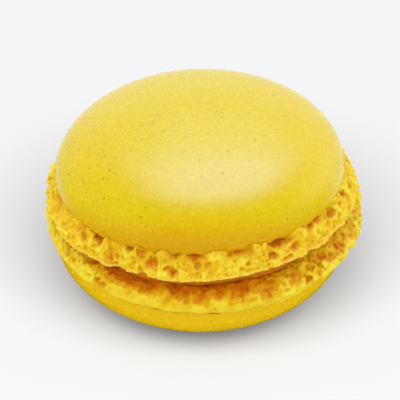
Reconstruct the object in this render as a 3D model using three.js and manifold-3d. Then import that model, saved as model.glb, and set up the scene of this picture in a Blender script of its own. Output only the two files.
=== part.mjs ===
// A French macaron: two baked almond meringue shells, base to base, on a thin layer of filling.
//
// Millimetres, +Z up. The origin is the middle of the small flat spot that the macaron rests on.
// Each shell is modelled in a frame of its own: its flat base lies in z = 0 and its dome points to +Z.
// The bottom shell is then turned over, and the top shell is set on the filling with a slight lean.

import * as THREE from 'three';
import { mergeVertices } from 'three/addons/utils/BufferGeometryUtils.js';
import Module from 'manifold-3d';

const wasm = await Module();
wasm.setup();

// ---- driving dimensions ----

const BOTTOM_BASE_HEIGHT = 12.75;          // the bottom shell's base, above the table
const TOP_BASE_HEIGHT = 14.85;             // the top shell's base, at its middle
const TOP_OFFSET = { x: -0.1, y: -0.15 };  // how far the top shell sits off the bottom shell's axis
const TOP_LEAN_X = -2.13;                  // degrees about X: the side towards -Y gapes
const TOP_LEAN_Y = -2.02;                  // degrees about Y: the side towards +X gapes

const CRUST_SEGMENTS = 72;
const CRUST_ROWS = 11;
const FOOT_SEGMENTS = 156;
const FOOT_ROWS = 9;
const FOOT_OVERLAP = 0.5;                  // how far the foot reaches up into the crust
const CORE_RADIUS = 18.4;                  // inside this, crust and foot are one solid
const CORE_HEIGHT = 1.6;
const RIM_FLAT = 1.2;                      // the outer band of the base, which the rim's frill lifts
const RIM_LIFT = 0.2;                      // how far the rim is rounded off the base
const TOP_CALM = 0.6;                      // share of the frill that is gone where foot meets crust
const FRILL_TWIST = 0.5;                   // radians that the frill's waves turn in each mm of height
const LIP_DEPTH = 0.6;                     // how far in the crust's underside starts to slope
const LIP_SLOPE = 0.1;                     // how far it drops over that depth

const TOP = {
  crust: { radius: 20.7, height: 9.95, power: 2.1, widest: 4.0, lipRadius: 20.5, lipHeight: 3.1 },
  foot: { rim: 22.5, belly: 21.9, bellyHeight: 1.3, top: 20.3, height: 3.2, offset: 0.1 },
  flatHeight: null,                        // the dome is whole
  seed: 3,
  phase: 0.4,
  // pits that stand out: degrees round the shell, height, half width, half height, depth
  pits: [
    [195, 2.8, 1.4, 0.6, 0.8],
    [227, 2.7, 1.1, 0.7, 1.2],
    [239, 0.0, 1.3, 0.7, 0.6],
    [252, 1.8, 1.1, 0.7, 0.9],
    [268, 2.8, 1.5, 0.5, 0.9],
    [298, 1.5, 0.9, 0.6, 0.8],
    [302, 2.9, 1.5, 0.7, 1.2],
    [308, 1.6, 0.8, 0.7, 0.8],
    [321, 2.8, 1.2, 0.6, 1.0],
  ],
};
const BOTTOM = {
  crust: { radius: 21.3, height: 9.45, power: 2.4, widest: 3.8, lipRadius: 21.15, lipHeight: 3.5 },
  foot: { rim: 21.9, belly: 22.95, bellyHeight: 1.4, top: 21.1, height: 3.6, offset: 0.92 },
  flatHeight: BOTTOM_BASE_HEIGHT,
  seed: 8,
  phase: 2.3,
  pits: [
    [38, 0.1, 1.0, 0.6, 0.9],
    [56, 0.1, 0.9, 0.6, 0.8],
    [77, 0.9, 0.8, 0.6, 0.8],
    [93, 0.1, 1.0, 0.5, 0.7],
    [113, 0.1, 0.9, 0.5, 0.7],
    [131, 2.5, 1.2, 0.6, 0.9],
  ],
};

// the small pits that the rule below spreads over the rest of each foot
const SMALL_PITS = 46;
const SMALL_PIT_HALF_WIDTH = [0.5, 1.2];
const SMALL_PIT_DEPTH = [0.25, 0.75];
const SMALL_PIT_FLATNESS = 0.6;            // a small pit's height for its width
const GOLDEN_SHARE = 0.618034;

// waves round a shell: how many, how far in or out, and where they start
const FOOT_WAVES = [[3, 0.10, 0.3], [8, 0.09, 1.9], [17, 0.08, 0.7], [29, 0.07, 2.6], [47, 0.05, 4.1]];
const CRUST_WAVES = [[2, 0.07, 0.9], [3, 0.05, 2.2], [5, 0.03, 4.0]];
const RIM_LIFT_WAVES = [[6, 0.09, 1.1], [14, 0.07, 3.0], [31, 0.05, 0.2]];
const FILLING_WAVES = [[3, 0.18, 0.5], [7, 0.14, 2.4], [12, 0.08, 1.3]];

const FILLING = { radius: 19.6, bulge: 0.3, rows: 4, segments: 64, gap: 0.3 };

const MERINGUE_YELLOW = '#e3bb18';
const CREAM_ORANGE = '#c9851c';

const topLean = new THREE.Euler(
  THREE.MathUtils.degToRad(TOP_LEAN_X),
  THREE.MathUtils.degToRad(TOP_LEAN_Y),
  0,
);

// ---- small helpers ----

const waveSum = (waves, angle, phase) =>
  waves.reduce((sum, [count, size, start]) => sum + size * Math.sin(count * angle + start + phase), 0);

// a repeatable number from 0 to 1
function draw(seed) {
  const large = Math.sin(seed * 127.1 + 11.7) * 43758.5453;
  return large - Math.floor(large);
}

const between = ([low, high], share) => low + (high - low) * share;

// the foot's face: a smooth bow through its rim, its belly and its top
function footRadius(foot, z) {
  const { rim, belly, bellyHeight, top, height } = foot;
  return rim * (z - bellyHeight) * (z - height) / (bellyHeight * height)
    + belly * z * (z - height) / (bellyHeight * (bellyHeight - height))
    + top * z * (z - bellyHeight) / (height * (height - bellyHeight));
}

// a closed lathe about Z, each of its points moved by move(point, angle, row)
function turned(profile, segments, move) {
  const lathe = new THREE.LatheGeometry(profile, segments);
  const place = lathe.attributes.position;
  for (let i = 0; i < place.count; i += 1) {
    const row = i % profile.length;
    const angle = 2 * Math.PI * Math.floor(i / profile.length) / segments;
    const point = move({ r: profile[row].x, z: profile[row].y }, angle, row);
    place.setXYZ(i, point.r * Math.cos(angle), point.r * Math.sin(angle), point.z);
  }
  return lathe;
}

// shared corners, and no triangle without area
function merged(geometry) {
  geometry.deleteAttribute('normal');
  geometry.deleteAttribute('uv');
  const whole = mergeVertices(geometry);
  const corners = [];
  for (let i = 0; i < whole.index.count; i += 3) {
    const [a, b, c] = [0, 1, 2].map((step) => whole.index.getX(i + step));
    if (a !== b && b !== c && c !== a) corners.push(a, b, c);
  }
  whole.setIndex(corners);
  return whole;
}

function solid(geometry) {
  const whole = merged(geometry);
  return new wasm.Manifold(new wasm.Mesh({
    numProp: 3,
    vertProperties: new Float32Array(whole.attributes.position.array),
    triVerts: new Uint32Array(whole.index.array),
  }));
}

function geometryOf(body) {
  const mesh = body.getMesh();
  const geometry = new THREE.BufferGeometry();
  geometry.setAttribute('position', new THREE.BufferAttribute(mesh.vertProperties, 3));
  geometry.setIndex(new THREE.BufferAttribute(mesh.triVerts, 1));
  geometry.computeVertexNormals();
  return geometry;
}

// ---- the shells ----

// every pit of a foot: those that stand out, and small ones spread by rule
function pitsOf(shell) {
  const small = Array.from({ length: SMALL_PITS }, (_, i) => {
    const seed = shell.seed * 100 + i;
    const halfWidth = between(SMALL_PIT_HALF_WIDTH, draw(seed + 0.2) ** 2);
    return [
      360 * ((i * GOLDEN_SHARE + 0.01 * draw(seed)) % 1),
      shell.foot.height * draw(seed + 0.4),
      halfWidth,
      halfWidth * SMALL_PIT_FLATNESS,
      between(SMALL_PIT_DEPTH, draw(seed + 0.6)),
    ];
  });
  return [...shell.pits, ...small].map(([degrees, height, halfWidth, halfHeight, depth]) =>
    ({ angle: THREE.MathUtils.degToRad(degrees), height, halfWidth, halfHeight, depth }));
}

function pitDepth(pits, angle, z, radius) {
  let deepest = 0;
  for (const pit of pits) {
    const turn = Math.atan2(Math.sin(angle - pit.angle), Math.cos(angle - pit.angle));
    const away = Math.hypot(turn * radius / pit.halfWidth, (z - pit.height) / pit.halfHeight);
    if (away < 1) deepest = Math.max(deepest, pit.depth * (1 - away * away));
  }
  return deepest;
}

// the aerated, frilled ring at the base
function footSolid(shell) {
  const { foot, phase } = shell;
  const pits = pitsOf(shell);
  const profile = [new THREE.Vector2(0, 0), new THREE.Vector2(foot.rim - RIM_FLAT, 0)];
  const firstFaceRow = profile.length;
  for (let row = 0; row <= FOOT_ROWS; row += 1) {
    const z = foot.height * row / FOOT_ROWS;
    profile.push(new THREE.Vector2(footRadius(foot, z), z));
  }
  const lastFaceRow = profile.length - 1;
  profile.push(new THREE.Vector2(CORE_RADIUS, foot.height + FOOT_OVERLAP));
  profile.push(new THREE.Vector2(0, foot.height + FOOT_OVERLAP));
  const lathe = turned(profile, FOOT_SEGMENTS, ({ r, z }, angle, row) => {
    if (row < firstFaceRow || row > lastFaceRow) return { r, z };
    const calm = 1 - TOP_CALM * z / foot.height;
    const out = calm * waveSum(FOOT_WAVES, angle, phase + FRILL_TWIST * z);
    const nearRim = Math.max(0, 1 - z / foot.bellyHeight);
    const lift = nearRim * (RIM_LIFT + waveSum(RIM_LIFT_WAVES, angle, phase));
    return { r: r + out - pitDepth(pits, angle, z, r), z: z + lift };
  });
  slide(lathe, foot);
  return solid(lathe);
}

// the base sits off the crust's axis by foot.offset, and the top of the foot follows the crust
function slide(lathe, foot) {
  const place = lathe.attributes.position;
  for (let i = 0; i < place.count; i += 1) {
    const share = 1 - Math.min(1, Math.max(0, place.getZ(i) / foot.height));
    place.setX(i, place.getX(i) + foot.offset * share);
  }
}

// the smooth domed crust, its lip standing just over the foot
function crustSolid(shell) {
  const { crust, flatHeight, phase } = shell;
  const profile = [
    new THREE.Vector2(0, CORE_HEIGHT),
    new THREE.Vector2(CORE_RADIUS, CORE_HEIGHT),
    new THREE.Vector2(crust.lipRadius - LIP_DEPTH, crust.lipHeight - LIP_SLOPE),
    new THREE.Vector2(crust.lipRadius, crust.lipHeight),
  ];
  for (let row = 0; row <= CRUST_ROWS; row += 1) {
    const turn = 0.5 * Math.PI * row / CRUST_ROWS;
    const r = row === CRUST_ROWS ? 0 : crust.radius * Math.cos(turn) ** (2 / crust.power);
    const z = crust.widest + crust.height * Math.sin(turn) ** (2 / crust.power);
    profile.push(new THREE.Vector2(r, z));
  }
  const lathe = turned(profile, CRUST_SEGMENTS, ({ r, z }, angle) => {
    const out = 1 + waveSum(CRUST_WAVES, angle, phase) / crust.radius;
    return { r: z < crust.lipHeight ? r : r * out, z };
  });
  const whole = solid(lathe);
  return flatHeight === null ? whole : whole.trimByPlane([0, 0, -1], -flatHeight);
}

// crust and foot as one solid
function shellMesh(name, shell) {
  const body = footSolid(shell).add(crustSolid(shell));
  const mesh = new THREE.Mesh(
    geometryOf(body),
    new THREE.MeshStandardMaterial({ color: MERINGUE_YELLOW, roughness: 0.5, metalness: 0 }),
  );
  mesh.name = name;
  return mesh;
}

// ---- the filling ----

// the height of the leaning top shell's base, over a point of the bottom shell's base
function topBaseHeight(x, y) {
  const up = new THREE.Vector3(0, 0, 1).applyEuler(topLean);
  return TOP_BASE_HEIGHT - (up.x * (x - TOP_OFFSET.x) + up.y * (y - TOP_OFFSET.y)) / up.z;
}

// a thin wedge of cream, set back from both rims, with an uneven edge
function fillingMesh() {
  const { radius, bulge, rows, segments, gap } = FILLING;
  const profile = [new THREE.Vector2(0, 0)];
  for (let row = 0; row <= rows; row += 1) {
    const share = row / rows;
    profile.push(new THREE.Vector2(radius + bulge * Math.sin(Math.PI * share), share));
  }
  profile.push(new THREE.Vector2(0, 1));
  const lathe = turned(profile, segments, ({ r, z: share }, angle) => {
    const far = r === 0 ? 0 : r + waveSum(FILLING_WAVES, angle, 0);
    const low = BOTTOM_BASE_HEIGHT + gap;
    const high = topBaseHeight(far * Math.cos(angle), far * Math.sin(angle)) - gap;
    return { r: far, z: low + (high - low) * share };
  });
  const mesh = new THREE.Mesh(
    merged(lathe),
    new THREE.MeshStandardMaterial({ color: CREAM_ORANGE, roughness: 0.45, metalness: 0 }),
  );
  mesh.name = 'filling';
  return mesh;
}

// ---- the macaron ----

const topShell = shellMesh('top_shell', TOP);
topShell.position.set(TOP_OFFSET.x, TOP_OFFSET.y, TOP_BASE_HEIGHT);
topShell.rotation.copy(topLean);

const bottomShell = shellMesh('bottom_shell', BOTTOM);
bottomShell.position.set(0, 0, BOTTOM_BASE_HEIGHT);
bottomShell.rotation.set(Math.PI, 0, 0);

const macaron = new THREE.Group();
macaron.add(topShell, fillingMesh(), bottomShell);

export default macaron;
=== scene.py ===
"""A French macaron on a pale studio table.

Two baked almond meringue shells, base to base on a thin wedge of cream. Each shell is skinned from
rings in a frame of its own, with its flat base in z = 0 and its dome towards +Z, in millimetres.
Its foot is then aerated by a Geometry Nodes tree, and the whole is set in its place in metres.
"""

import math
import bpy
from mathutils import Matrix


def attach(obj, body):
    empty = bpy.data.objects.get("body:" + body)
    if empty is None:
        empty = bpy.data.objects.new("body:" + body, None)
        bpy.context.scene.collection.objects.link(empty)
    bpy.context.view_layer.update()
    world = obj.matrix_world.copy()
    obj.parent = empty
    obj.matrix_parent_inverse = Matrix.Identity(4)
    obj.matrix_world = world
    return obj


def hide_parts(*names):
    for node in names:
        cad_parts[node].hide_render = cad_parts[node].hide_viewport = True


bl_info = {
    "name": "French macaron",
    "version": (1, 0, 0),
    "blender": (4, 5, 0),
    "location": "3D View > Sidebar > Macaron",
    "description": "Bakes a macaron from two meringue shells and a thin filling",
    "category": "Add Mesh",
}

import bpy
import numpy as np
from mathutils import Euler, Matrix, Vector

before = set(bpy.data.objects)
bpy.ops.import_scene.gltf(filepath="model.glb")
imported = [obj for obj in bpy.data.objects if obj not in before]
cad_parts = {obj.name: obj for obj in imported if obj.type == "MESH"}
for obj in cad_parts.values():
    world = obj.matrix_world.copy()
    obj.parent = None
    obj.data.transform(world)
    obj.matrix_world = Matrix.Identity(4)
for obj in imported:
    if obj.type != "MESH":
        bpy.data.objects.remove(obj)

MM = 0.001
TAU = 2 * math.pi

# ---- how the shells lie, in mm ----

BOTTOM_BASE_HEIGHT = 12.75
TOP_BASE_HEIGHT = 14.85
TOP_OFFSET = (-0.1, -0.15)
TOP_LEAN = (math.radians(-2.13), math.radians(-2.02), 0.0)
JOIN_HEIGHT = 13.8  # middle of the gap between the two bases
PRESSED = 0.02  # how far the cream is pressed into each base

TOP_PLACE = Matrix.LocRotScale(Vector((*TOP_OFFSET, TOP_BASE_HEIGHT)), Euler(TOP_LEAN), None)
BOTTOM_PLACE = Matrix.LocRotScale(Vector((0, 0, BOTTOM_BASE_HEIGHT)), Euler((math.pi, 0, 0)), None)

# ---- relief: waves round a shell as count, size in mm and start ----

FOOT_WAVES = ((3, 0.10, 0.3), (8, 0.09, 1.9), (17, 0.08, 0.7), (29, 0.07, 2.6), (47, 0.05, 4.1))
CRUST_WAVES = ((2, 0.07, 0.9), (3, 0.05, 2.2), (5, 0.03, 4.0))
RIM_LIFT_WAVES = ((6, 0.09, 1.1), (14, 0.07, 3.0), (31, 0.05, 0.2))
CHIP_WAVES = ((61, 0.07, 4.0), (83, 0.08, 1.0), (127, 0.10, 2.2), (181, 0.06, 0.5))
LIP_WAVES = ((9, 0.07, 0.4), (23, 0.06, 2.0), (41, 0.05, 5.1), (67, 0.04, 1.2))
FILLING_WAVES = ((3, 0.18, 0.5), (7, 0.14, 2.4), (12, 0.08, 1.3), (31, 0.04, 0.2))
TOP_CALM = 0.6  # share of the frill that is gone where foot meets crust
FRILL_LEAN = 0.5  # how far the frill's waves turn, in radians for each mm up
CHIP_LIFT = 0.6  # share of the chips that also lifts the rim
LIP_FADE = 1.5  # above 1, the lip's waves die out faster than evenly
ARC_FADE = 9.0  # degrees over which an arc of the foot starts and ends

# pits that stand out: degrees round the shell, height, half width, half height, depth
TOP_PITS = (
    (195, 2.8, 1.6, 0.45, 0.7),
    (217.7, 2.8, 0.9, 0.35, 0.5),
    (227, 2.7, 1.0, 0.65, 1.2),
    (233.6, 1.5, 0.8, 0.5, 0.35),
    (239, 0.0, 1.3, 0.7, 0.6),
    (242.6, 3.0, 0.8, 0.35, 0.7),
    (252, 1.8, 1.1, 0.7, 0.8),
    (261, 2.9, 0.9, 0.4, 0.8),
    (268, 2.8, 1.5, 0.5, 0.9),
    (285.7, 2.8, 0.9, 0.4, 0.8),
    (288, 1.4, 0.6, 0.35, 0.35),
    (298, 1.5, 0.8, 0.5, 0.6),
    (302, 2.9, 1.5, 0.7, 1.1),
    (308, 1.6, 0.8, 0.6, 0.8),
    (316.5, 2.6, 0.9, 0.7, 0.5),
    (321.7, 2.8, 1.2, 0.6, 1.0),
    (331, 2.4, 0.9, 0.6, 0.6),
)
BOTTOM_PITS = (
    (6, 0.1, 0.8, 0.6, 0.5),
    (29, 0.1, 0.9, 0.5, 0.7),
    (38, 0.1, 1.0, 0.6, 0.85),
    (43, 0.2, 0.6, 0.5, 0.6),
    (50, 1.0, 0.7, 0.4, 0.6),
    (56, 0.1, 1.1, 0.7, 0.75),
    (65, 0.1, 0.6, 0.4, 0.35),
    (77, 0.9, 0.4, 0.35, 0.35),
    (86, 0.2, 0.5, 0.35, 0.45),
    (90.4, 0.8, 0.8, 0.5, 0.6),
    (97, 0.7, 0.45, 0.35, 0.45),
    (103.7, 0.4, 0.6, 0.4, 0.5),
    (111, 0.3, 0.5, 0.4, 0.5),
    (120, 0.1, 0.8, 0.4, 0.3),
    (131, 2.1, 1.4, 0.75, 0.9),
    (136, 1.3, 0.5, 0.4, 0.5),
    (94, 2.7, 0.7, 0.2, 0.35),
    (105, 2.6, 0.8, 0.2, 0.35),
    (82, 2.2, 0.5, 0.25, 0.3),
)
PIT_POWER = 0.8  # below 1, a pit's walls are steeper than a bowl's
SMALL_PITS = 46
SMALL_PIT_HALF_WIDTH = (0.5, 1.2)
SMALL_PIT_SQUASH = 0.6  # height over width
SMALL_PIT_DEPTH = (0.25, 0.75)
GOLDEN_SHARE = 0.618034

# places where the foot swelled up over the crust's edge: degrees, half width in degrees, height
TOP_SWELLS = (
    (187, 3.0, 0.30),
    (205, 3.4, 0.45),
    (222, 2.4, 0.35),
    (232, 1.8, 0.40),
    (246, 2.6, 0.80),
    (256, 2.8, 0.85),
    (262, 1.6, 0.35),
    (276.5, 4.6, 0.60),
    (291, 2.8, 0.75),
    (296, 1.5, 0.40),
    (311, 3.4, 0.60),
    (336, 3.6, 0.65),
    (345, 2.2, 0.40),
)
BOTTOM_SWELLS = ((20, 6.0, 0.25), (62, 5.0, 0.30), (84, 5.0, 0.20), (122, 5.0, 0.25))
SWELL_POWER = 0.9
SMALL_SWELLS = 24
SMALL_SWELL_HALF_WIDTH = (1.5, 4.0)
SMALL_SWELL_HEIGHT = (0.1, 0.35)

# places where the crust cracked off the foot: degrees, half width in degrees, gap
TOP_GAPS = ((195, 4.5, 0.30), (268, 3.5, 0.25), (302, 3.0, 0.25))
BOTTOM_GAPS = ((114.4, 1.6, 0.35), (108, 2.2, 0.30), (99.4, 2.4, 0.35), (84.7, 3.4, 0.32))

# where something on the foot sets in and where it is there in full, in mm above the base
CHIPPED = (0.8, 0.1)
RIM_SHADE_HEIGHTS = (0.6, 0.1)  # painted shade: the lower foot's dark rim under the upper shell
RIM_HIGHLIGHT_HEIGHTS = (0.45, 0.1)  # painted highlight along the upper foot's thin rim
BUBBLED = (0.2, 0.8)
LUMPED = (0.1, 0.7)
# the same, as shares of the foot's height
SWOLLEN = (0.45, 1.0)
SEALED = (0.25, 0.95)  # no more bubbles and lumps under the lower crust
JOINED = (0.45, 0.95)  # the lower foot takes the crust's colour
JOINED_EARLY = (0.2, 0.35)  # the same, where it baked smooth
# the same, in mm outwards, with the rim at 0
BASE_FRILLED = (-2.5, 0.0)
BASE_BUBBLED = (-4.2, -3.0)
BASE_CLOSED = (-0.6, 0.0)  # no more bubbles next to a crisp rim
BASE_LUMPED = (-3.6, -1.2)
BASE_UNSHADED = (-1.5, 0.0)  # no more of the base's painted shade
# the same painted rim highlight, on the base
BASE_RIM_HIGHLIGHT = (-0.5, -0.1)
ON_RIM = 0.01  # mm within which a point of the base belongs to the rim
RIM_BUBBLES = 0.3  # share of the bubbles that is there at the very rim
FREE_OF_PITS = (0.3, 0.05)  # depth of a pit, in mm, that keeps the crust's colour off and that doesn't

# depths in mm that a face counts as when it gets its colour: the deeper, the more orange painted shade
BASE_DEPTH = 0.55  # painted shade of the flat base
LIP_DEPTH = 1.3  # painted shade of the hidden face under the crust's edge
RIM_SHADE_DEPTH = 0.6  # painted shade of the lower foot's dark rim
PALE_DEPTH = 0.23  # painted light: the rest of the lower foot counts as this proud, so it is painted paler
PIT_SHADE = 1.3  # painted shade: how much deeper than it is a pit that stands out counts
SHADED = (0.15, 1.0)  # share of the base's and the dark rim's painted shade outside and inside the arc where it is darkest
SHADE_WAVE = 1.6  # how much wavier than the lip the painted dark rim's edge is

# what sets the two shells apart
UPPER = {
    "place": TOP_PLACE,
    "pits": TOP_PITS,
    "swells": TOP_SWELLS,
    "gaps": TOP_GAPS,
    "bulge": 0.8,  # how far a swell bulges out for its height
    "reach": 1.0,  # how much of the crumb's relief reaches the crust
    "crisp": 1.0,  # how crisp the rim stayed
    "worn": 0.5,  # how worn the base is
    "smooth_arc": (0, 0),  # where it baked smooth: middle and half width in degrees
    "smooth_share": 0.0,  # and how smooth
    "shaded_arc": (0, 0),  # where its rim's painted shade is darkest
    "flat": None,  # height of the flat that it rests on
    "seed": 3,
    "phase": 0.4,  # what its waves' starts are turned by
}
LOWER = {
    "place": BOTTOM_PLACE,
    "pits": BOTTOM_PITS,
    "swells": BOTTOM_SWELLS,
    "gaps": BOTTOM_GAPS,
    "bulge": 0.0,
    "reach": 0.15,
    "crisp": 0.0,
    "worn": 0.85,
    "smooth_arc": (101, 27),
    "smooth_share": 0.45,
    "shaded_arc": (103, 38),
    "flat": BOTTOM_BASE_HEIGHT,
    "seed": 8,
    "phase": 2.3,
}

# ---- mesh density ----

FINE = 880  # points round the foot
FOOT_STEP = 0.17  # mm between the foot's rings
BOW_STEP = FOOT_STEP * 0.9  # mm of height between them up its bowed face
CRUST_STEP = 0.45
CORE_RADIUS = 17.6  # inside this the base is hidden by the filling
# rings of the base inside its fine ones: outer radius, step, and what FINE is divided by
CORE_RINGS = ((CORE_RADIUS - 1.0, 2.5, 8), (CORE_RADIUS, 0.5, 4), (CORE_RADIUS + 0.4, 0.4, 2))
DOME_RADII = (9, 4)  # inside these the dome's rings have half as many points, and half again
DOME_POINTS = 2001  # along the curve that the dome's rings are taken from
LIP_WIDTH = 0.55  # of the hidden face under the crust's edge
LIP_DROP = 0.12  # how much lower its inner side is
FILLING_POINTS = 240
FILLING_ROWS = 8
FILLING_STEP = 4.0
FILLING_CORE = 1.0

# ---- properties ----


def length(name, description, millimetres):
    """A size that the sidebar shows in the scene's own unit of length."""
    return bpy.props.FloatProperty(
        name=name,
        description=description,
        default=millimetres * MM,
        min=0.0,
        unit="LENGTH",
        precision=5,
    )


def linear(hexed):
    """An sRGB hex colour as the linear values that shaders take."""
    parts = [int(hexed[i : i + 2], 16) / 255 for i in (1, 3, 5)]
    return [p / 12.92 if p <= 0.04045 else ((p + 0.055) / 1.055) ** 2.4 for p in parts]


def colour(name, description, hexed):
    """A colour that the sidebar shows as a swatch."""
    return bpy.props.FloatVectorProperty(
        name=name,
        description=description,
        default=linear(hexed),
        min=0.0,
        max=1.0,
        subtype="COLOR",
    )


# sizes of a shell: name, description, and millimetres on the upper and the lower one
SHELL_SIZES = {
    "crust_radius": ("Crust radius", "Radius of the dome at its widest", 20.7, 21.3),
    "crust_height": ("Crust height", "Height of the dome above its widest", 9.95, 9.45),
    "widest_height": ("Widest at", "Height of the widest part of the dome", 4.0, 3.8),
    "lip_radius": ("Lip radius", "Radius of the crust's lower edge", 20.5, 21.15),
    "lip_height": ("Lip height", "Height of the crust's lower edge", 3.1, 3.5),
    "rim_radius": ("Rim radius", "Radius of the foot at its base", 22.5, 21.9),
    "belly_radius": ("Belly radius", "Radius of the foot at its middle", 21.9, 22.95),
    "belly_height": ("Belly height", "Height of the foot's middle", 1.3, 1.4),
    "foot_top": ("Foot top radius", "Radius of the foot under the lip", 20.3, 21.1),
    "foot_height": ("Foot height", "Height of the frilled foot", 3.2, 3.6),
    "foot_slip": ("Foot slip", "How far the base slid off the crust's axis", 0.1, 0.92),
    "rim_lift": ("Rim lift", "How far the foot's rim is rounded off its base", 0.2, 0.3),
}
CRUST_POWERS = (2.1, 2.4)


def shell_sizes(shell):
    """The sizes of the upper shell, 0, or the lower one, 1, as properties."""
    sizes = {}
    for key, (name, description, *both) in SHELL_SIZES.items():
        sizes[key] = length(name, description, both[shell])
    sizes["crust_power"] = bpy.props.FloatProperty(
        name="Crust fullness",
        description="2 is an ellipse, more is a flatter top with fuller shoulders",
        default=CRUST_POWERS[shell],
        min=1.5,
        max=4.0,
    )
    return sizes


class TopShellSizes(bpy.types.PropertyGroup):
    """Sizes of the upper shell"""

    __annotations__ = shell_sizes(0)


class BottomShellSizes(bpy.types.PropertyGroup):
    """Sizes of the lower shell"""

    __annotations__ = shell_sizes(1)


class CrumbSizes(bpy.types.PropertyGroup):
    """Bubbles of the aerated feet"""

    __annotations__ = {
        "large": length("Large bubbles", "Radius of the largest bubbles", 0.78),
        "medium": length("Medium bubbles", "Radius of the medium bubbles", 0.46),
        "small": length("Small bubbles", "Radius of the smallest bubbles", 0.29),
        "seed": bpy.props.IntProperty(
            name="Seed", description="Another seed gives other bubbles", default=4, min=0
        ),
    }


class FillingSizes(bpy.types.PropertyGroup):
    """Sizes of the cream"""

    __annotations__ = {
        "radius": length("Radius", "Radius of the cream between the shells", 19.6),
        "bulge": length("Bulge", "How far the cream swells out at mid height", 0.3),
    }


class MacaronColours(bpy.types.PropertyGroup):
    """Colours of the baked shells and the cream"""

    __annotations__ = {
        "crust": colour("Crust", "Smooth baked top", "#e8cc00"),
        # painted shade: the crown a touch darker, where the gloss is brightest
        "crown": colour("Crown", "Middle of the baked top", "#e6cc00"),
        # partly painted shade, partly baked tone: the crust low down, deeper orange where less light falls
        "edge": colour("Baked edge", "Crust near the foot, where it baked longer", "#e3a900"),
        "lower": colour("Lower crust", "Crust of the lower shell", "#f6ca00"),
        "freckle": colour("Freckles", "Specks of almond skin in the crust", "#a87000"),
        "crumb": colour("Crumb", "Open crumb of the feet", "#f6cc0a"),
        # painted highlight: the pale yellow of the crumb's proud webs
        "web": colour("Webs", "Proud edges between the pores", "#fdea3c"),
        # painted shade: the orange of the crumb's hollows
        "pore": colour("Pores", "Depths of the crumb's pores", "#e68c00"),
        # painted highlight: a pale line along the feet's thin rim
        "rim": colour("Rim", "Thin dry rim of the feet", "#ffdc50"),
        # partly painted shade: both cream colours are darkened for the narrow gap between the shells
        "cream": colour("Cream", "Filling between the shells", "#e6960c"),
        "soaked": colour("Soaked cream", "Cream that took colour from the crumb", "#cc7a08"),
    }


# ---- relief in numbers ----


def smooth(low, high, x):
    """0 up to low and 1 from high on, with a soft change between them."""
    share = np.clip((x - low) / (high - low), 0, 1)
    return share * share * (3 - 2 * share)


def between(ends, share):
    """The value at a share of the way between two ends."""
    return ends[0] + (ends[1] - ends[0]) * share


def wave_sum(waves, angle, phase):
    """The height of all waves together at each angle."""
    return sum(size * np.sin(count * angle + start + phase) for count, size, start in waves)


def draw(seed):
    """A repeatable number from 0 to 1."""
    large = math.sin(seed * 127.1 + 11.7) * 43758.5453
    return large - math.floor(large)


def small_pits(seed, foot_height):
    """The pits that don't stand out, spread round the foot by rule."""
    small = []
    for i in range(SMALL_PITS):
        each = seed * 100 + i
        half_width = between(SMALL_PIT_HALF_WIDTH, draw(each + 0.2) ** 2)
        turn = 360 * ((i * GOLDEN_SHARE + 0.01 * draw(each)) % 1)
        depth = between(SMALL_PIT_DEPTH, draw(each + 0.6))
        height = foot_height * draw(each + 0.4)
        small.append((turn, height, half_width, half_width * SMALL_PIT_SQUASH, depth))
    return small


def small_swells(seed):
    """The swells that don't stand out, spread round the foot by rule."""
    swells = []
    for i in range(SMALL_SWELLS):
        each = seed * 70 + i
        turn = 360 * ((i * GOLDEN_SHARE + 0.02 * draw(each)) % 1)
        half_width = between(SMALL_SWELL_HALF_WIDTH, draw(each + 0.3))
        swells.append((turn, half_width, between(SMALL_SWELL_HEIGHT, draw(each + 0.7))))
    return swells


def turn_from(degrees, angle):
    """How far each angle is from a direction, in radians and the shorter way round."""
    return np.angle(np.exp(1j * (angle - math.radians(degrees))))


def pit_depth(pits, angle, z, radius):
    """How deep the pits go at each point of the foot."""
    deepest = np.zeros_like(angle)
    for degrees, height, half_width, half_height, depth in pits:
        across = turn_from(degrees, angle) * radius / half_width
        away = np.hypot(across, (z - height) / half_height)
        deepest = np.maximum(deepest, depth * np.clip(1 - away**2, 0, 1) ** PIT_POWER)
    return deepest


def arc_height(arcs, angle):
    """The height of the highest of some arcs at each angle."""
    highest = np.zeros_like(angle)
    for degrees, half_width, height in arcs:
        away = np.degrees(turn_from(degrees, angle)) / half_width
        highest = np.maximum(highest, height * np.clip(1 - away**2, 0, 1) ** SWELL_POWER)
    return highest


def arc_share(angle, middle, half_width):
    """1 within an arc round the shell and 0 outside it, with a soft change at its ends."""
    away = np.degrees(np.abs(turn_from(middle, angle)))
    return smooth(half_width + ARC_FADE, half_width - ARC_FADE, away)


# ---- a shell ----


def foot_radius(s, z):
    """The foot's face: a smooth bow through its rim, its belly and its top."""
    at, top = s.belly_height / MM, s.foot_height / MM
    return (
        s.rim_radius / MM * (z - at) * (z - top) / (at * top)
        + s.belly_radius / MM * z * (z - top) / (at * (at - top))
        + s.foot_top / MM * z * (z - at) / (top * (top - at))
    )


def evenly(start, end, step):
    """Numbers from start to end, at most a step apart, without the first."""
    count = max(1, math.ceil(abs(end - start) / step))
    return [start + (end - start) * (i + 1) / count for i in range(count)]


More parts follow.
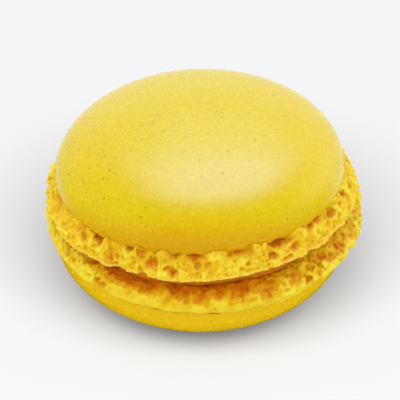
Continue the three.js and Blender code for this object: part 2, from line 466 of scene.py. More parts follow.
def shell_rings(s, flat_height):
    """Rings from the middle of the base, round the foot and over the dome, and the crown's height.

    Each ring is its radius, height, count of points and zone."""
    rings, start = [], 0
    for outer, step, part in (*CORE_RINGS, (s.rim_radius / MM, FOOT_STEP, 1)):
        rings += [(r, 0.0, FINE // part, "base") for r in evenly(start, outer, step)]
        start = outer
    foot = evenly(0.0, s.foot_height / MM, BOW_STEP)
    rings += [(foot_radius(s, z), z, FINE, "foot") for z in foot]
    lip, lip_at = s.lip_radius / MM, s.lip_height / MM
    radius, high = s.crust_radius / MM, s.crust_height / MM
    widest = s.widest_height / MM
    for r in evenly(lip - LIP_WIDTH, lip, FOOT_STEP):
        height = lip_at - LIP_DROP + LIP_DROP * (r - lip + LIP_WIDTH) / LIP_WIDTH
        rings.append((r, height, FINE, "lip"))
    for z in evenly(lip_at, widest, FOOT_STEP):
        share = (z - lip_at) / (widest - lip_at)
        rings.append((lip + (radius - lip) * math.sin(share * math.pi / 2), z, FINE, "crust"))
    # the dome, in steps of even length along its curve
    turns = np.linspace(0, math.pi / 2, DOME_POINTS)
    r = radius * np.cos(turns) ** (2 / s.crust_power)
    z = widest + high * np.sin(turns) ** (2 / s.crust_power)
    r[-1] = 0.0
    if flat_height is not None:
        z = np.minimum(z, flat_height)
    along = np.concatenate([[0], np.cumsum(np.hypot(np.diff(r), np.diff(z)))])
    count = math.ceil(along[-1] / CRUST_STEP)
    wide, narrow = DOME_RADII
    for i in range(1, count):
        at = along[-1] * i / count
        ring_r, ring_z = np.interp(at, along, r), np.interp(at, along, z)
        part = 2 if ring_r > wide else 4 if ring_r > narrow else 8
        rings.append((ring_r, ring_z, FINE // part, "crust"))
    return rings, float(z[-1])


def skin(rings, crown):
    """Points, angles, zones and faces of a closed skin over rings whose counts halve or double."""
    starts, points, angles, zones = [], [], [], []
    for r, z, count, zone in rings:
        starts.append(len(points))
        points += [(r, z)] * count
        angles += [TAU * k / count for k in range(count)]
        zones += [zone] * count
    faces = []
    for (_, _, a_count, _), (_, _, b_count, _), a, b in zip(rings, rings[1:], starts, starts[1:]):
        fewer = min(a_count, b_count)
        for k in range(fewer):
            n = (k + 1) % fewer
            if a_count == b_count:
                faces.append((a + k, a + n, b + n, b + k))
            elif a_count > b_count:
                mid, end = 2 * k + 1, (2 * k + 2) % a_count
                faces.append((a + 2 * k, a + mid, b + k))
                faces.append((a + mid, b + n, b + k))
                faces.append((a + mid, a + end, b + n))
            else:
                mid, end = 2 * k + 1, (2 * k + 2) % b_count
                faces.append((a + k, b + mid, b + 2 * k))
                faces.append((a + k, a + n, b + mid))
                faces.append((a + n, b + end, b + mid))
    first, last = len(points), len(points) + 1
    inner, outer = rings[0][2], rings[-1][2]
    faces += [(first, (k + 1) % inner, k) for k in range(inner)]
    faces += [(starts[-1] + k, starts[-1] + (k + 1) % outer, last) for k in range(outer)]
    points += [(0.0, 0.0), (0.0, crown)]
    angles += [0.0, 0.0]
    zones += ["base", "crust"]
    return np.array(points), np.array(angles), np.array(zones), faces


def put(name, data):
    """A new object in the scene."""
    made = bpy.data.objects.new(name, data)
    bpy.context.scene.collection.objects.link(made)
    return made


def shell_blank(name, s, relief):
    """A shell with its waves and its pits, before its foot is aerated."""
    rings, crown = shell_rings(s, relief["flat"])
    points, angle, zone, faces = skin(rings, crown)
    seed, phase = relief["seed"], relief["phase"]
    crisp, blunt, sealed = relief["crisp"], 1 - relief["crisp"], 1 - relief["reach"]
    r, z = points.T
    top, rim = s.foot_height / MM, s.rim_radius / MM
    lip, widest = s.lip_height / MM, s.widest_height / MM
    on_foot = (zone == "foot") | ((zone == "base") & (r > rim - ON_RIM))
    on_base = (zone == "base") & ~on_foot
    on_crust = (zone == "crust") | (zone == "lip")

    def outwards(ends):
        return smooth(rim + ends[0], rim + ends[1], r)

    calm = 1 - TOP_CALM * np.clip(z / top, 0, 1)
    frill = calm * wave_sum(FOOT_WAVES, angle, phase + FRILL_LEAN * z)
    rough = 1 - relief["smooth_share"] * arc_share(angle, *relief["smooth_arc"])
    pits = np.maximum(
        pit_depth(relief["pits"], angle, z, r),
        rough * pit_depth(small_pits(seed, top), angle, z, r),
    )
    swell = arc_height([*relief["swells"], *small_swells(seed)], angle)
    gap = arc_height(relief["gaps"], angle)
    swollen = smooth(*SWOLLEN, z / top)
    outer = outwards(BASE_FRILLED)
    chips = wave_sum(CHIP_WAVES, angle, phase)
    frill += chips * smooth(*CHIPPED, z)
    droop = s.rim_lift / MM + wave_sum(RIM_LIFT_WAVES, angle, phase) + CHIP_LIFT * chips
    lift = np.clip(1 - z / (s.belly_height / MM), 0, 1) * droop

    crust_scale = 1 + wave_sum(CRUST_WAVES, angle, phase) / (s.crust_radius / MM)
    near_lip = np.clip((widest - z) / (widest - lip), 0, 1) ** LIP_FADE
    ragged = wave_sum(LIP_WAVES, angle, phase)

    radius = np.select(
        [on_foot, on_base, on_crust],
        [
            r + frill - pits + relief["bulge"] * swell * swollen,
            r + (frill - pits) * outer,
            r * crust_scale,
        ],
    )
    height = np.select(
        [on_foot, on_base, on_crust],
        [z + lift + swell * swollen, z + lift * outer, z + near_lip * (ragged + swell + gap)],
    )
    slip = s.foot_slip / MM * (1 - np.clip(height / top, 0, 1))
    place = np.stack([radius * np.cos(angle) + slip, radius * np.sin(angle), height], 1)
    mesh = bpy.data.meshes.new(name)
    mesh.from_pydata(place * MM, [], faces)

    open_base = outwards(BASE_BUBBLED) * (1 - crisp * outwards(BASE_CLOSED))
    bubbled = between((RIM_BUBBLES, 1.0), smooth(*BUBBLED, z))
    airy = np.select([on_foot, on_base], [bubbled, relief["worn"] * open_base], 0.0)
    airy = np.maximum(airy, np.where(on_foot, blunt * relief["worn"], 0.0))
    even = (1 - sealed * smooth(*SEALED, z / top)) * rough
    lumped = np.maximum(smooth(*LUMPED, z), blunt) * even
    # painted shade on the lower foot's rim and base, darkest in the front arc under the upper shell; the
    # rest of the lower foot is painted paler
    hidden = between(SHADED, arc_share(angle, *relief["shaded_arc"]))
    shaded = hidden * smooth(*RIM_SHADE_HEIGHTS, z + SHADE_WAVE * ragged)
    painted_rim_shade_and_light = blunt * (RIM_SHADE_DEPTH * shaded - PALE_DEPTH * (1 - shaded))
    # painted shade of the flat base, darkest in the arc under the upper shell
    baked = BASE_DEPTH * (1 - outwards(BASE_UNSHADED)) * hidden
    joined = np.maximum(smooth(*JOINED, z / top), (1 - rough) * smooth(*JOINED_EARLY, z / top))
    # painted highlight along the upper foot's thin rim, where it catches the light
    dried = crisp * smooth(*RIM_HIGHLIGHT_HEIGHTS, z) * outwards(BASE_RIM_HIGHLIGHT)
    layers = {
        "crumb": (zone == "foot") | (zone == "lip") | ((zone == "base") & (r > rim + BASE_LUMPED[0])),
        "airy": airy * even,
        "lumpy": np.select([on_foot, on_base], [lumped, blunt * outwards(BASE_LUMPED)], 0.0),
        # painted shade: the depth that sets how deep an orange each point is painted
        "pore": np.select(
            [on_foot, on_base, zone == "lip"],
            [PIT_SHADE * pits + painted_rim_shade_and_light, PIT_SHADE * pits * outer + painted_rim_shade_and_light + baked, LIP_DEPTH],
            0.0,
        ),
        "join": on_foot * sealed * joined * smooth(*FREE_OF_PITS, pits),
        # painted highlight of the thin rim
        "rim": np.where(on_foot | on_base, dried, 0.0),
    }
    for label, values in layers.items():
        layer = mesh.attributes.new(label, "FLOAT", "POINT")
        layer.data.foreach_set("value", np.asarray(values, np.float32))
    return put(name, mesh)


# ---- nodes ----

MATH, VECTOR, RANGE, MIX = "ShaderNodeMath", "ShaderNodeVectorMath", "ShaderNodeMapRange", "ShaderNodeMix"
NOISE, CELLS = "ShaderNodeTexNoise", "ShaderNodeTexVoronoi"
SOFT = {"interpolation_type": "SMOOTHSTEP"}
COLOUR_A, COLOUR_B, COLOUR_OUT = 6, 7, 2  # a Mix node's sockets for colours


def fill(tree, node, inputs):
    """Gives a node its values and its links; a node among them stands for its first output."""
    for name, value in inputs.items():
        if isinstance(value, bpy.types.Node):
            value = value.outputs[0]
        if isinstance(value, bpy.types.NodeSocket):
            tree.links.new(value, node.inputs[name])
        else:
            node.inputs[name].default_value = value


def add(tree, kind, inputs=None, **settings):
    """Adds a node to a tree, with its settings, its values and its links."""
    made = tree.nodes.new(kind)
    for name, value in settings.items():
        setattr(made, name, value)
    fill(tree, made, inputs or {})
    return made


# ---- the crumb, as Geometry Nodes ----

BLURS = 4  # times that the normals are blurred
WALL_SHARE = 0.35  # share of a bubble's section that its sloping wall takes
SMALLEST = 0.55  # the smallest bubble of a size over its largest
SEED_MOVES = (0.0137, 0.0071, 0.0293)  # metres that each seed moves the bubbles by
LUMPS = ((2.2, 0.38), (0.9, 0.22))  # width and height in mm
# bubbles: name, width of a cell over the radius, share of cells that have one, depth over the radius
BUBBLES = (
    ("Large bubbles", 2.0, 0.45, 0.7),
    ("Medium bubbles", 1.7, 0.7, 0.8),
    ("Small bubbles", 1.6, 0.85, 0.8),
)


def store_depth(tree, mesh, depth):
    """Pushes the mesh in by a depth in metres, and adds it in millimetres to the depth that paints orange
    shade into the crumb's hollows.
    """
    held = add(tree, "GeometryNodeCaptureAttribute", {"Geometry": mesh}, domain="POINT")
    held.capture_items.new("FLOAT", "Depth")
    fill(tree, held, {"Depth": depth})
    # normals blurred over a few points, so that neighbours don't cross at the foot's sharp edges
    blurred = add(tree, "GeometryNodeBlurAttribute", {"Iterations": BLURS}, data_type="FLOAT_VECTOR")
    vector_in = next(i for i in blurred.inputs if i.enabled and i.type == "VECTOR")
    tree.links.new(add(tree, "GeometryNodeInputNormal").outputs["Normal"], vector_in)
    normal = next(o for o in blurred.outputs if o.enabled)
    out = add(tree, MATH, {0: held.outputs["Depth"], 1: -1.0}, operation="MULTIPLY")
    offset = add(tree, VECTOR, {0: normal, "Scale": out}, operation="SCALE")
    carved = add(tree, "GeometryNodeSetPosition", {"Geometry": held.outputs["Geometry"], "Offset": offset})
    before = add(
        tree, "GeometryNodeInputNamedAttribute", {"Name": "pore"}, data_type="FLOAT"
    ).outputs["Attribute"]
    deeper = add(tree, MATH, {0: held.outputs["Depth"], 1: 1 / MM, 2: before}, operation="MULTIPLY_ADD")
    return add(
        tree,
        "GeometryNodeStoreNamedAttribute",
        {"Geometry": carved, "Name": "pore", "Value": deeper},
        data_type="FLOAT",
        domain="POINT",
    )


def bubble_layer(tree, mesh, radius, seed, weight, spacing, share, cap):
    """Carves one size of round bubbles: one in each cell of a given spacing, in a share of the cells."""
    place = add(tree, "GeometryNodeInputPosition")
    normal = add(tree, "GeometryNodeInputNormal")
    per_cell = add(tree, MATH, {0: 1 / spacing, 1: radius}, operation="DIVIDE")
    apart = add(tree, VECTOR, {0: seed, 1: SEED_MOVES}, operation="MULTIPLY")
    moved = add(tree, VECTOR, {0: place, 1: apart}, operation="ADD")
    cells = add(tree, CELLS, {"Vector": moved, "Scale": per_cell, "Randomness": 1.0}).outputs
    tone = add(tree, "ShaderNodeSeparateXYZ", {0: cells["Color"]})
    bulk = add(tree, RANGE, {"Value": tone, "From Min": 1 - share, "To Min": SMALLEST})
    there = add(tree, MATH, {0: tone, 1: 1 - share}, operation="GREATER_THAN")
    size = add(tree, MATH, {0: bulk, 1: radius}, operation="MULTIPLY")
    away = add(tree, VECTOR, {0: moved, 1: cells["Position"]}, operation="SUBTRACT")
    along = add(tree, VECTOR, {0: away, 1: normal}, operation="DOT_PRODUCT").outputs["Value"]
    square = add(tree, VECTOR, {0: away, 1: away}, operation="DOT_PRODUCT").outputs["Value"]
    inside = add(tree, MATH, {0: size, 1: size}, operation="MULTIPLY")
    left = add(tree, MATH, {0: inside, 1: square}, operation="SUBTRACT")
    wall = add(tree, MATH, {0: inside, 1: WALL_SHARE}, operation="MULTIPLY")
    within = add(tree, RANGE, {"Value": left, "From Max": wall}, **SOFT)
    reach = add(tree, MATH, {0: along, 1: along, 2: left}, operation="MULTIPLY_ADD")
    root = add(tree, MATH, {0: reach}, operation="SQRT")
    far = add(tree, MATH, {0: along, 1: root}, operation="ADD")
    deepest = add(tree, MATH, {0: size, 1: cap}, operation="MULTIPLY")
    cut = add(tree, MATH, {0: far, 1: deepest, 2: deepest}, operation="SMOOTH_MIN")
    for factor in (within, there, weight):
        cut = add(tree, MATH, {0: cut, 1: factor}, operation="MULTIPLY")
    return store_depth(tree, mesh, cut)


def lump_layer(tree, mesh, width, height, seed, weight):
    """Swells the crumb into soft lumps of one width."""
    place = add(tree, "GeometryNodeInputPosition")
    noise = add(
        tree,
        NOISE,
        {"Vector": place, "W": seed, "Scale": 1 / width, "Detail": 1.0, "Roughness": 0.4},
        noise_dimensions="4D",
    )
    swing = add(
        tree,
        RANGE,
        {"Value": noise, "From Min": 0.25, "From Max": 0.75, "To Min": height, "To Max": -height},
    )
    depth = add(tree, MATH, {0: swing, 1: weight}, operation="MULTIPLY")
    return store_depth(tree, mesh, depth)


def crumb_tree(crust, crumb):
    """Geometry Nodes that swell a foot into lumps and carve three sizes of bubbles into it."""
    tree = bpy.data.node_groups.new("aerate foot", "GeometryNodeTree")
    face = tree.interface
    face.new_socket("Geometry", in_out="INPUT", socket_type="NodeSocketGeometry")
    for name, *_ in BUBBLES:
        face.new_socket(name, in_out="INPUT", socket_type="NodeSocketFloat")
    face.new_socket("Seed", in_out="INPUT", socket_type="NodeSocketInt")
    face.new_socket("Geometry", in_out="OUTPUT", socket_type="NodeSocketGeometry")
    given = add(tree, "NodeGroupInput").outputs
    stored = {}
    for label in ("lumpy", "airy", "crumb"):
        stored[label] = add(
            tree, "GeometryNodeInputNamedAttribute", {"Name": label}, data_type="FLOAT"
        ).outputs["Attribute"]

    mesh = given["Geometry"]
    for width, height in LUMPS:
        mesh = lump_layer(tree, mesh, width * MM, height * MM, given["Seed"], stored["lumpy"])
    for step, (name, spacing, share, cap) in enumerate(BUBBLES):
        seed = add(tree, MATH, {0: given["Seed"], 1: float(step)}, operation="ADD")
        mesh = bubble_layer(tree, mesh, given[name], seed, stored["airy"], spacing, share, cap)
    realized = add(tree, "GeometryNodeRealizeInstances", {"Geometry": mesh})
    open_part = add(tree, MATH, {0: stored["crumb"], 1: 0.5}, operation="GREATER_THAN")
    crusted = add(tree, "GeometryNodeSetMaterial", {"Geometry": realized, "Material": crust})
    crumbed = add(
        tree, "GeometryNodeSetMaterial", {"Geometry": crusted, "Selection": open_part, "Material": crumb}
    )
    add(tree, "NodeGroupOutput", {"Geometry": crumbed})
    return tree


def aerate(piece, sizes, crust, crumb):
    """Runs the crumb tree on a blank shell and leaves a plain mesh."""
    tree = crumb_tree(crust, crumb)
    modifier = piece.modifiers.new("aerate", "NODES")
    modifier.node_group = tree
    values = {
        "Large bubbles": sizes.large,
        "Medium bubbles": sizes.medium,
        "Small bubbles": sizes.small,
        "Seed": sizes.seed,
    }
    for item in tree.interface.items_tree:
        if item.in_out == "INPUT" and item.name in values:
            modifier[item.identifier] = values[item.name]
    bpy.context.view_layer.update()
    evaluated = piece.evaluated_get(bpy.context.evaluated_depsgraph_get())
    made = bpy.data.meshes.new_from_object(evaluated)
    piece.modifiers.remove(modifier)
    piece.data = made


# ---- materials ----

LOW_FRONT = 0.4  # how much lower a point of the crust counts for each mm to the front or the back, so that the painted shade low down reaches higher there than at the lit sides
SHADE_HEIGHTS = (12.0, 19.5)  # mm, where the upper crust is wholly its low edge's shaded colour and wholly its top's
BLOTCH_SHIFT = 3.0  # mm that blotches shift those heights by
CROWN_RADII = (17.0, 8.0)  # mm, where the crown's colour starts and where it is in full
SPECK_CELL = 0.75  # mm between specks of almond skin
SPECK_RADIUS = (0.02, 0.25)
SPECK_EDGE = 0.09  # mm over which a speck fades in
SPECK_COVER = 0.6  # how much of the crust's colour it hides
SPECK_DULLNESS = 0.1  # how much rougher than the skin it is
TABLE_GLOW_RADII = (7, 15)  # mm, where the table's glow starts and where it is in full, so that its lack paints a shadow round the macaron's contact


def new_material(name):
    """A material with nothing but its shader."""
    made = bpy.data.materials.new(name)
    made.use_nodes = True
    return made, made.node_tree, made.node_tree.nodes["Principled BSDF"]


def crust_material(colours):
    """Baked almond meringue, dried to a thin skin: a satin gloss over fine freckles."""
    made, tree, shader = new_material("baked meringue skin")
    place = add(tree, "ShaderNodeTexCoord").outputs["Object"]

    # partly painted shade, partly baked tone: the upper crust turns deeper orange low down, more so at its
    # front and back than at its lit sides, and a touch darker on its crown under the brightest gloss
    mirrored = add(tree, VECTOR, {0: place}, operation="ABSOLUTE")
    raised = add(
        tree, VECTOR, {0: mirrored, 1: (0, -LOW_FRONT, 1)}, operation="DOT_PRODUCT"
    ).outputs["Value"]
    blotch = add(tree, NOISE, {"Vector": place, "Scale": 1 / (9 * MM), "Detail": 2.0, "Roughness": 0.5})
    shifted = add(tree, MATH, {0: blotch, 1: BLOTCH_SHIFT * MM, 2: raised}, operation="MULTIPLY_ADD")
    flat = add(tree, VECTOR, {0: place, 1: (1, 1, 0)}, operation="MULTIPLY")
    out = add(tree, VECTOR, {0: flat}, operation="LENGTH").outputs["Value"]
    pale, near_crown = (
        add(tree, RANGE, {"Value": value, "From Min": start * MM, "From Max": end * MM}, **SOFT)
        for value, (start, end) in ((shifted, SHADE_HEIGHTS), (out, CROWN_RADII))
    )
    height = add(tree, "ShaderNodeSeparateXYZ", {0: place}).outputs["Z"]
    turned = add(tree, MATH, {0: height, 1: JOIN_HEIGHT * MM}, operation="LESS_THAN")

    # specks of almond skin, up to half a millimetre across, in some cells only, closer where blotched
    cells = add(tree, CELLS, {"Vector": place, "Scale": 1 / (SPECK_CELL * MM)}).outputs
    any_size = add(tree, "ShaderNodeSeparateXYZ", {0: cells["Color"]})
    small, large = (radius / SPECK_CELL for radius in SPECK_RADIUS)
    bulk = add(tree, RANGE, {"Value": any_size, "From Min": 0.25, "To Min": small, "To Max": large})
    crowded = add(tree, RANGE, {"Value": blotch, "From Min": 0.3, "From Max": 0.55})
    half = add(tree, MATH, {0: bulk, 1: crowded}, operation="MULTIPLY")
    inside = add(tree, MATH, {0: half, 1: cells["Distance"]}, operation="SUBTRACT")
    speck = add(tree, RANGE, {"Value": inside, "From Max": SPECK_EDGE / SPECK_CELL, "To Max": SPECK_COVER})

    tint = (*colours.edge, 1)
    for share, over in (
        (pale, colours.crust),
        (near_crown, colours.crown),
        (turned, colours.lower),
        (speck, colours.freckle),
    ):
        mixed = {"Factor": share, COLOUR_A: tint, COLOUR_B: (*over, 1)}
        tint = add(tree, MIX, mixed, data_type="RGBA").outputs[COLOUR_OUT]

    # sugar dries to an uneven skin: fine stipple in its colour and its gloss
    stipple = add(tree, NOISE, {"Vector": place, "Scale": 1 / (0.5 * MM), "Detail": 3.0, "Roughness": 0.7})
    shade, skin_gloss = (
        add(tree, RANGE, {"Value": stipple, "From Min": 0.3, "From Max": 0.7, "To Min": low, "To Max": high})
        for low, high in ((0.90, 1.08), (0.18, 0.32))
    )
    stippled = add(tree, "ShaderNodeHueSaturation", {"Value": shade, "Color": tint})
    gloss = add(tree, MATH, {0: speck, 1: SPECK_DULLNESS, 2: skin_gloss}, operation="MULTIPLY_ADD")
    dimples = add(
        tree, CELLS, {"Vector": place, "Scale": 1 / (1.3 * MM), "Smoothness": 1.0}, feature="SMOOTH_F1"
    ).outputs["Distance"]
    both = add(tree, MATH, {0: dimples, 1: 0.15, 2: stipple}, operation="MULTIPLY_ADD")
    bump = add(tree, "ShaderNodeBump", {"Height": both, "Strength": 0.5, "Distance": 0.08 * MM})
    values = {
        "Base Color": stippled,
        "Roughness": gloss,
        "Normal": bump,
        "IOR": 1.35,
        "Subsurface Weight": 0.15,
        "Subsurface Radius": (1.0, 0.6, 0.15),
        "Subsurface Scale": 1.0 * MM,
    }
    fill(tree, shader, values)
    return made


def crumb_material(colours):
    """Open crumb of baked meringue: painted highlights where it is proud, painted orange shade in its pores.
    """
    made, tree, shader = new_material("aerated meringue crumb")
    place = add(tree, "ShaderNodeTexCoord").outputs["Object"]
    depth, join, rim = (
        add(tree, "ShaderNodeAttribute", attribute_name=label).outputs["Fac"]
        for label in ("pore", "join", "rim")
    )
    mottle = add(tree, NOISE, {"Vector": place, "Scale": 1 / (1.3 * MM), "Detail": 3.0, "Roughness": 0.6})
    uneven = add(tree, MATH, {0: mottle, 1: 0.8, 2: depth}, operation="MULTIPLY_ADD")
    # painted highlight where the crumb stands proud, painted shade where it lies deep
    painted_highlight, painted_pore_shade = (
        add(tree, RANGE, {"Value": uneven, "From Min": start, "From Max": end})
        for start, end in ((0.5, 0.05), (0.5, 1.5))
    )
    tint = (*colours.crumb, 1)
    for share, over in (
        (painted_highlight, colours.web),
        (painted_pore_shade, colours.pore),
        (join, colours.lower),
        # painted highlight along the feet's thin rim
        (rim, colours.rim),
    ):
        mixed = {"Factor": share, COLOUR_A: tint, COLOUR_B: (*over, 1)}
        tint = add(tree, MIX, mixed, data_type="RGBA").outputs[COLOUR_OUT]
    grain = add(tree, NOISE, {"Vector": place, "Scale": 1 / (0.4 * MM), "Detail": 2.0, "Roughness": 0.6})
    bump = add(tree, "ShaderNodeBump", {"Height": grain, "Strength": 0.9, "Distance": 0.18 * MM})
    values = {
        "Base Color": tint,
        "Normal": bump,
        "Roughness": 0.7,
        "Specular IOR Level": 0.2,
        "Subsurface Weight": 0.25,
        "Subsurface Radius": (1.0, 0.5, 0.08),
        "Subsurface Scale": 0.35 * MM,
    }
    fill(tree, shader, values)
    return made


def cream_material(colours):
    """Butter cream in a deep orange, partly its own tone and partly painted shade of the narrow gap between
    the shells: mottled, with small air holes.
    """
    made, tree, shader = new_material("pressed butter cream")
    place = add(tree, "ShaderNodeTexCoord").outputs["Object"]
    mottle = add(tree, NOISE, {"Vector": place, "Scale": 1 / (1.4 * MM), "Detail": 3.0, "Roughness": 0.6})
    share = add(tree, RANGE, {"Value": mottle, "From Min": 0.35, "From Max": 0.65})
    mixed = {"Factor": share, COLOUR_A: (*colours.cream, 1), COLOUR_B: (*colours.soaked, 1)}
    tint = add(tree, MIX, mixed, data_type="RGBA").outputs[COLOUR_OUT]
    # air holes half a millimetre across
    holes = add(tree, CELLS, {"Vector": place, "Scale": 1 / (1.2 * MM)}).outputs["Distance"]
    open_hole = add(tree, RANGE, {"Value": holes, "From Min": 0.1, "From Max": 0.3})
    surface = add(tree, MATH, {0: mottle, 1: open_hole}, operation="ADD")
    bump = add(tree, "ShaderNodeBump", {"Height": surface, "Strength": 0.8, "Distance": 0.15 * MM})
    values = {
        "Base Color": tint,
        "Normal": bump,
        "Roughness": 0.55,
        "Specular IOR Level": 0.3,
        "Subsurface Weight": 0.2,
        "Subsurface Radius": (1.0, 0.6, 0.2),
        "Subsurface Scale": 0.5 * MM,
    }
    fill(tree, shader, values)
    return made


def table_material():
    """Opal sheet, darker than it looks: its own lamp makes it white, so little yellow shows on it."""
    made, tree, shader = new_material("glowing grey sheet")
    # painted light: the sheet glows faintly and coolly of its own, which lifts its shadows and offsets the
    # macaron's yellow on it; the glow fades out where the macaron rests, a painted shadow round its contact
    place = add(tree, "ShaderNodeTexCoord").outputs["Object"]
    out = add(tree, VECTOR, {0: place}, operation="LENGTH").outputs["Value"]
    start, end = (radius * MM for radius in TABLE_GLOW_RADII)
    light = add(tree, RANGE, {"Value": out, "From Min": start, "From Max": end}, **SOFT)
    values = {
        "Base Color": (*linear("#7c7b7a"), 1),
        "Roughness": 0.9,
        "Specular IOR Level": 0.0,
        "Emission Color": (*linear("#626872"), 1),
        "Emission Strength": light,
    }
    fill(tree, shader, values)
    return made


def black_cloth():
    """Black cloth, which throws no light back."""
    made, tree, shader = new_material("black cloth")
    black = (*linear("#000000"), 1)
    fill(tree, shader, {"Base Color": black, "Roughness": 1.0, "Specular IOR Level": 0.0})
    return made


# ---- the stage ----

# how the studio's light changes along an axis: the axis, the part of it from -1 to 1 over which the
# light changes, and its strength before and after
ROOM_FADES = {
    "ceiling": ("Z", 0.75, 0.95, 0.0, 0.79),
    "low": ("Z", 0.0, 0.6, 1.55, 1.15),
    "left": ("X", -0.75, -0.25, 0.3, 0.9),
    "right": ("X", 0.7, 0.95, 0.0, 1.5),
    "above": ("Z", -0.1, 0.15, 0.0, 1.0),
    "far": ("Y", 0.2, 0.6, 0.0, 0.7),
    "front": ("Y", -0.3, 0.1, 0.0, 1.0),
}
BACK_WALL = 0.77
GLOSS_TINT = "#edf7ff"

# lights as name, middle and size in metres, radiance and tint: those that only the gloss mirrors,
# those that it doesn't, and the table's own
SHEEN_BOXES = (
    ("softbox", (0.0525, 0.06, 0.60), (0.525, 0.45), 10.3, "#95b3ff"),
    ("left softbox", (-0.285, 0.175, 0.60), (0.15, 0.45), 4.2, "#95b3ff"),
    ("right softbox", (0.41, 0.20, 0.60), (0.19, 0.54), 3.8, "#95b3ff"),
    ("rear softbox", (0.06, 0.46, 0.60), (0.50, 0.34), 3.3, "#b3cbff"),
)
CARDS = (
    ("front card", (0.0, -0.30, 0.52), (0.50, 0.40), 1.12),
    ("low front card", (0.0, -0.59, 0.10), (0.35, 0.35), 0.83),
)
TABLE_LAMP = ("table lamp", (0.0, -0.79, 1.27), (2.5, 1.0), 14.9)
TABLE_HALF = 2.0
FLAG_HALF = 32 * MM

ELEVATION = math.radians(37)  # of the camera above the table
DISTANCE = 380.0  # mm
TARGET = Vector((-0.18, 0, 12.79))  # mm
FOCAL_PIXELS, FRAME_PIXELS = 2617.0, 400.0
SENSOR = 36.0  # mm


def white_studio():
    """White walls: bright at both sides, less so behind, and a pale ceiling."""
    world = bpy.data.worlds.new("white studio")
    world.use_nodes = True
    tree = world.node_tree
    towards = add(tree, "ShaderNodeTexCoord").outputs["Generated"]
    parts = add(tree, "ShaderNodeSeparateXYZ", {0: towards}).outputs
    fade = {}
    for name, (axis, start, end, before, after) in ROOM_FADES.items():
        ends = {"From Min": start, "From Max": end, "To Min": before, "To Max": after}
        fade[name] = add(tree, RANGE, {"Value": parts[axis], **ends}, **SOFT)
    across = add(tree, MATH, {0: parts["X"]}, operation="ABSOLUTE")
    behind = add(tree, MATH, {0: parts["Y"], 1: 0.0}, operation="MAXIMUM")
    back = add(tree, MATH, {0: behind, 1: BACK_WALL, 2: fade["ceiling"]}, operation="MULTIPLY_ADD")
    walls = add(tree, MATH, {0: across, 1: fade["low"], 2: back}, operation="MULTIPLY_ADD")
    # what the gloss mirrors: an even room above the table, dimmer on the left, brighter on the right
    beside = add(tree, MATH, {0: fade["left"], 1: fade["right"]}, operation="ADD")
    brighter = add(tree, MATH, {0: fade["far"], 1: beside}, operation="ADD")
    lit = add(tree, MATH, {0: fade["above"], 1: fade["front"]}, operation="MULTIPLY")
    seen = add(tree, MATH, {0: lit, 1: fade["far"]}, operation="MAXIMUM")
    room = add(tree, MATH, {0: brighter, 1: seen}, operation="MULTIPLY")
    gloss = add(tree, "ShaderNodeLightPath").outputs["Is Glossy Ray"]
    strength = add(tree, MIX, {"Factor": gloss, "A": walls, "B": room}).outputs["Result"]
    mixed = {"Factor": gloss, COLOUR_A: (1, 1, 1, 1), COLOUR_B: (*linear(GLOSS_TINT), 1)}
    tint = add(tree, MIX, mixed, data_type="RGBA").outputs[COLOUR_OUT]
    fill(tree, tree.nodes["Background"], {"Strength": strength, "Color": tint})
    return world


def softbox(name, centre, size, radiance, tint="#ffffff"):
    """A soft rectangular light that faces the macaron, with its first side along X."""
    light = bpy.data.lights.new(name, "AREA")
    light.shape = "RECTANGLE"
    light.color = linear(tint)
    light.size, light.size_y = size
    light.energy = radiance * math.pi * size[0] * size[1]
    away = Vector(centre).normalized()
    across = (Vector((1, 0, 0)) - away * away.x).normalized()
    turn = Matrix((across, away.cross(across), away)).transposed()
    made = put(name, light)
    made.matrix_world = Matrix.LocRotScale(Vector(centre), turn, None)
    return made


def stage_sheet(name, half, material):
    """A square sheet at table height, that belongs to the stage."""
    mesh = bpy.data.meshes.new(name)
    corners = [(-half, -half, 0), (half, -half, 0), (half, half, 0), (-half, half, 0)]
    mesh.from_pydata(corners, [], [(0, 1, 2, 3)])
    mesh.materials.append(material)
    made = put(name, mesh)
    return made


# ---- operators ----


def bake_shell(scene, name, sizes, relief):
    """Shapes a shell, aerates its foot and sets it in its place."""
    piece = shell_blank(name, sizes, relief)
    colours = scene.macaron_colours
    crust = bpy.data.materials.get("baked meringue skin") or crust_material(colours)
    crumb = bpy.data.materials.get("aerated meringue crumb") or crumb_material(colours)
    aerate(piece, scene.macaron_crumb, crust, crumb)
    piece.data.transform(Matrix.Scale(MM, 4) @ relief["place"] @ Matrix.Scale(1 / MM, 4))
    return piece


def finish_piece(piece, node):
    """Shades the piece smooth, makes it ride the root and hides the part that it replaces."""
    piece.data.polygons.foreach_set("use_smooth", [True] * len(piece.data.polygons))
    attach(piece, "root")
    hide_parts(node)


class MACARON_OT_top_shell(bpy.types.Operator):
    """Bake the upper shell and set it on the cream, with its slight lean"""

    bl_idname = "macaron.top_shell"
    bl_label = "Upper shell"

    def execute(self, context):
        piece = bake_shell(context.scene, "upper_shell", context.scene.macaron_top, UPPER)
        finish_piece(piece, "top_shell")
        return {"FINISHED"}


class MACARON_OT_bottom_shell(bpy.types.Operator):
    """Bake the lower shell and turn it over onto its flat spot"""

    bl_idname = "macaron.bottom_shell"
    bl_label = "Lower shell"

    def execute(self, context):
        piece = bake_shell(context.scene, "lower_shell", context.scene.macaron_bottom, LOWER)
        finish_piece(piece, "bottom_shell")
        return {"FINISHED"}


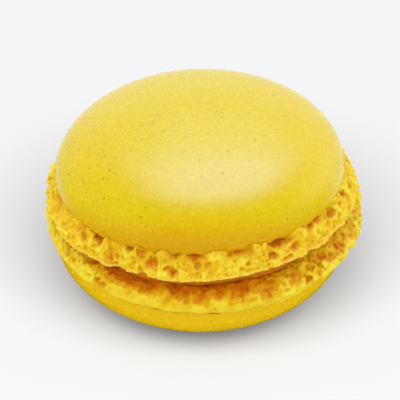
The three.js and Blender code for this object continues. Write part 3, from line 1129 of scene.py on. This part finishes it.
class MACARON_OT_filling(bpy.types.Operator):
    """Press a thin wedge of cream between the two bases"""

    bl_idname = "macaron.filling"
    bl_label = "Filling"

    def execute(self, context):
        s = context.scene.macaron_filling
        radius, bulge = s.radius / MM, s.bulge / MM
        rings = [(r, 0.0, FILLING_POINTS, "low") for r in evenly(0, radius, FILLING_STEP)]
        for share in evenly(0, 1, 1 / FILLING_ROWS):
            edge = radius + bulge * math.sin(math.pi * share)
            rings.append((edge, share, FILLING_POINTS, "edge"))
        inwards = evenly(radius, FILLING_CORE, FILLING_STEP)
        rings += [(r, 1.0, FILLING_POINTS, "high") for r in inwards]
        points, angle, _, faces = skin(rings, 1.0)
        r = points[:, 0] * (1 + wave_sum(FILLING_WAVES, angle, 0) / radius)
        x, y = r * np.cos(angle), r * np.sin(angle)
        up = Euler(TOP_LEAN).to_matrix() @ Vector((0, 0, 1))
        ceiling = TOP_BASE_HEIGHT - (up.x * (x - TOP_OFFSET[0]) + up.y * (y - TOP_OFFSET[1])) / up.z
        low = BOTTOM_BASE_HEIGHT - PRESSED
        z = low + (ceiling + PRESSED - low) * points[:, 1]
        mesh = bpy.data.meshes.new("pressed_cream")
        mesh.from_pydata(np.stack([x, y, z], 1) * MM, [], faces)
        mesh.materials.append(cream_material(context.scene.macaron_colours))
        finish_piece(put("pressed_cream", mesh), "filling")
        return {"FINISHED"}


class MACARON_OT_studio(bpy.types.Operator):
    """Set the pale table, the soft lights and the camera"""

    bl_idname = "macaron.studio"
    bl_label = "Studio"

    def execute(self, context):
        scene = context.scene
        back = Vector((0, -math.cos(ELEVATION), math.sin(ELEVATION)))
        data = bpy.data.cameras.new("camera")
        data.sensor_width = SENSOR
        data.lens = FOCAL_PIXELS * SENSOR / FRAME_PIXELS
        data.clip_start, data.clip_end = 0.01, 10.0
        camera = put("camera", data)
        camera.location = (TARGET + back * DISTANCE) * MM
        camera.rotation_mode = "QUATERNION"
        camera.rotation_quaternion = (-back).to_track_quat("-Z", "Y")
        scene.camera = camera

        table = stage_sheet("table", TABLE_HALF, table_material())
        table.visible_glossy = False
        # painted reflection: a black sheet that only the gloss sees stands for the macaron's shadow on the
        # table, so the gloss under the macaron mirrors that and not the white room behind it
        flag = stage_sheet("black flag", FLAG_HALF, black_cloth())
        flag.visible_camera = flag.visible_diffuse = flag.visible_shadow = False

        # the table's own lamp: the macaron blocks its light but doesn't catch it
        lamp = softbox(*TABLE_LAMP)
        lamp.visible_glossy = False
        lit_alone = bpy.data.collections.new("lit by the table lamp")
        lit_alone.objects.link(table)
        lamp.light_linking.receiver_collection = lit_alone

        scene.world = white_studio()
        for light in SHEEN_BOXES:
            softbox(*light).visible_diffuse = False
        for light in CARDS:
            softbox(*light).visible_glossy = False
        scene.view_settings.view_transform = "Standard"
        return {"FINISHED"}


class MACARON_PT_panel(bpy.types.Panel):
    """Sidebar panel of the macaron"""

    bl_idname = "MACARON_PT_panel"
    bl_label = "Macaron"
    bl_space_type = "VIEW_3D"
    bl_region_type = "UI"
    bl_category = "Macaron"

    def draw(self, context):
        for made in OPERATORS:
            self.layout.operator(made.bl_idname)


OPERATORS = (
    MACARON_OT_studio,
    MACARON_OT_top_shell,
    MACARON_OT_bottom_shell,
    MACARON_OT_filling,
)
GROUPS = {
    "macaron_top": TopShellSizes,
    "macaron_bottom": BottomShellSizes,
    "macaron_crumb": CrumbSizes,
    "macaron_filling": FillingSizes,
    "macaron_colours": MacaronColours,
}


def register():
    for made in (*GROUPS.values(), *OPERATORS, MACARON_PT_panel):
        bpy.utils.register_class(made)
    for name, group in GROUPS.items():
        setattr(bpy.types.Scene, name, bpy.props.PointerProperty(type=group))


def unregister():
    for name in GROUPS:
        delattr(bpy.types.Scene, name)
    for made in (MACARON_PT_panel, *OPERATORS, *GROUPS.values()):
        bpy.utils.unregister_class(made)


def main():
    """Makes the whole macaron."""
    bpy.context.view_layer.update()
    register()
    bpy.ops.macaron.studio()
    bpy.ops.macaron.top_shell()
    bpy.ops.macaron.bottom_shell()
    bpy.ops.macaron.filling()


if __name__ == "__main__":
    main()
